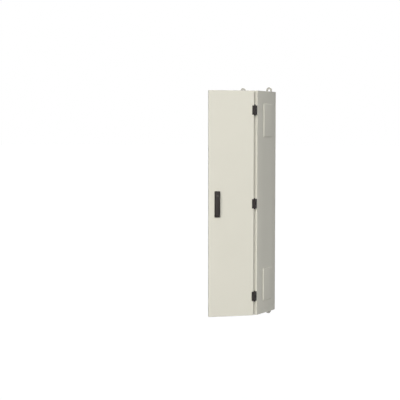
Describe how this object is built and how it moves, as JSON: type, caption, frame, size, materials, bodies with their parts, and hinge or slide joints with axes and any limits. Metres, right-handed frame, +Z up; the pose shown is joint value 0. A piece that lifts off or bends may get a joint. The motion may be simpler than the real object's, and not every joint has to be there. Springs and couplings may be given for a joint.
{
  "type": "switchboard cabinet",
  "caption": "Tall narrow wall-hung sheet-steel switchboard cabinet: hinged door with swing handle and three-point lock, device rails behind touch guards, wall lugs.",
  "frame": {"origin": "the middle of the wall plane that the four wall brackets touch", "axes": "+Z up along the cabinet's height, +Y towards the wall, +X to the right of someone facing the door"},
  "size_m": [0.3086, 0.4856, 1.464],
  "materials": {
    "cabinet_paint": "light grey fine-textured powder coat, satin",
    "zinc_steel": "bright zinc-plated steel",
    "black_fittings": "black powder-coated zinc die casting, fine grain",
    "black_plastic": "black moulded polyamide, matt",
    "guard_plastic": "light grey moulded touch guard, matt",
    "bar_brass": "bare drawn brass, satin",
    "cylinder_chrome": "black chrome, satin",
    "gasket_rubber": "soft foamed rubber, matt"
  },
  "bodies": {
    "root": {"left_side_wall": "cabinet_paint", "right_side_wall": "cabinet_paint", "roof_panel": "cabinet_paint", "floor_panel": "cabinet_paint", "rear_panel": "cabinet_paint", "top_gland_gasket": "gasket_rubber", "top_gland_plate": "cabinet_paint", "bottom_gland_gasket": "gasket_rubber", "bottom_gland_plate": "cabinet_paint", "side_cover_left_lower": "cabinet_paint", "side_cover_left_upper": "cabinet_paint", "side_cover_right_lower": "cabinet_paint", "side_cover_right_upper": "cabinet_paint", "wall_bracket_top_left": "zinc_steel", "wall_bracket_top_right": "zinc_steel", "wall_bracket_bottom_left": "zinc_steel", "wall_bracket_bottom_right": "zinc_steel", "left_upright": "zinc_steel", "right_upright": "zinc_steel", "din_rail_1": "zinc_steel", "din_rail_2": "zinc_steel", "din_rail_3": "zinc_steel", "din_rail_4": "zinc_steel", "din_rail_5": "zinc_steel", "din_rail_6": "zinc_steel", "din_rail_7": "zinc_steel", "din_rail_8": "zinc_steel", "touch_guard_1": "guard_plastic", "touch_guard_2": "guard_plastic", "touch_guard_3": "guard_plastic", "earth_bar": "bar_brass", "neutral_bar": "bar_brass", "neutral_bar_support_left": "black_plastic", "neutral_bar_support_right": "black_plastic", "rod_keeper_top": "zinc_steel", "rod_keeper_bottom": "zinc_steel", "hinge_lower_body_leaf": "black_fittings", "hinge_lower_pin": "black_fittings", "hinge_middle_body_leaf": "black_fittings", "hinge_middle_pin": "black_fittings", "hinge_upper_body_leaf": "black_fittings", "hinge_upper_pin": "black_fittings"},
    "door": {"door_panel": "cabinet_paint", "door_gasket": "gasket_rubber", "door_stiffener": "cabinet_paint", "document_pocket": "black_plastic", "handle_base": "black_fittings", "lock_case": "zinc_steel", "upper_rod_guide": "black_plastic", "lower_rod_guide": "black_plastic", "hinge_lower_door_leaf": "black_fittings", "hinge_middle_door_leaf": "black_fittings", "hinge_upper_door_leaf": "black_fittings"},
    "handle_hub": {"handle_spindle": "black_fittings", "drive_pinion": "zinc_steel", "lever_pin": "black_fittings"},
    "lever": {"handle_lever": "black_fittings"},
    "cylinder": {"lock_cylinder": "cylinder_chrome"},
    "upper_rod": {"upper_lock_rod": "zinc_steel"},
    "lower_rod": {"lower_lock_rod": "zinc_steel"}
  },
  "joints": [
    {"name": "door_hinge", "type": "hinge", "parent": "root", "child": "door", "pos_m": [0.1445, -0.277, 0], "axis": [0, 0, 1], "range_deg": [-45, 85]},
    {"name": "handle_turn", "type": "hinge", "parent": "door", "child": "handle_hub", "pos_m": [-0.02344, -0.44777, -0.053], "axis": [-0.7071, 0.7071, 0], "range_deg": [0, 90]},
    {"name": "handle_lift", "type": "hinge", "parent": "handle_hub", "child": "lever", "pos_m": [-0.01425, -0.45696, -0.072], "axis": [0.7071, 0.7071, 0], "range_deg": [0, 40]},
    {"name": "lock_turn", "type": "hinge", "parent": "lever", "child": "cylinder", "pos_m": [-0.01425, -0.45696, 0.052], "axis": [-0.7071, 0.7071, 0], "range_deg": [0, 90]},
    {"name": "upper_rod_slide", "type": "slide", "parent": "door", "child": "upper_rod", "axis": [0, 0, 1], "range_m": [-0.01768, 0]},
    {"name": "lower_rod_slide", "type": "slide", "parent": "door", "child": "lower_rod", "axis": [0, 0, 1], "range_m": [0, 0.01768]}
  ],
  "couplings": [
    {"joint": "upper_rod_slide", "follows": "handle_turn", "m_per_rad": -0.01125},
    {"joint": "lower_rod_slide", "follows": "handle_turn", "m_per_rad": 0.01125}
  ]
}
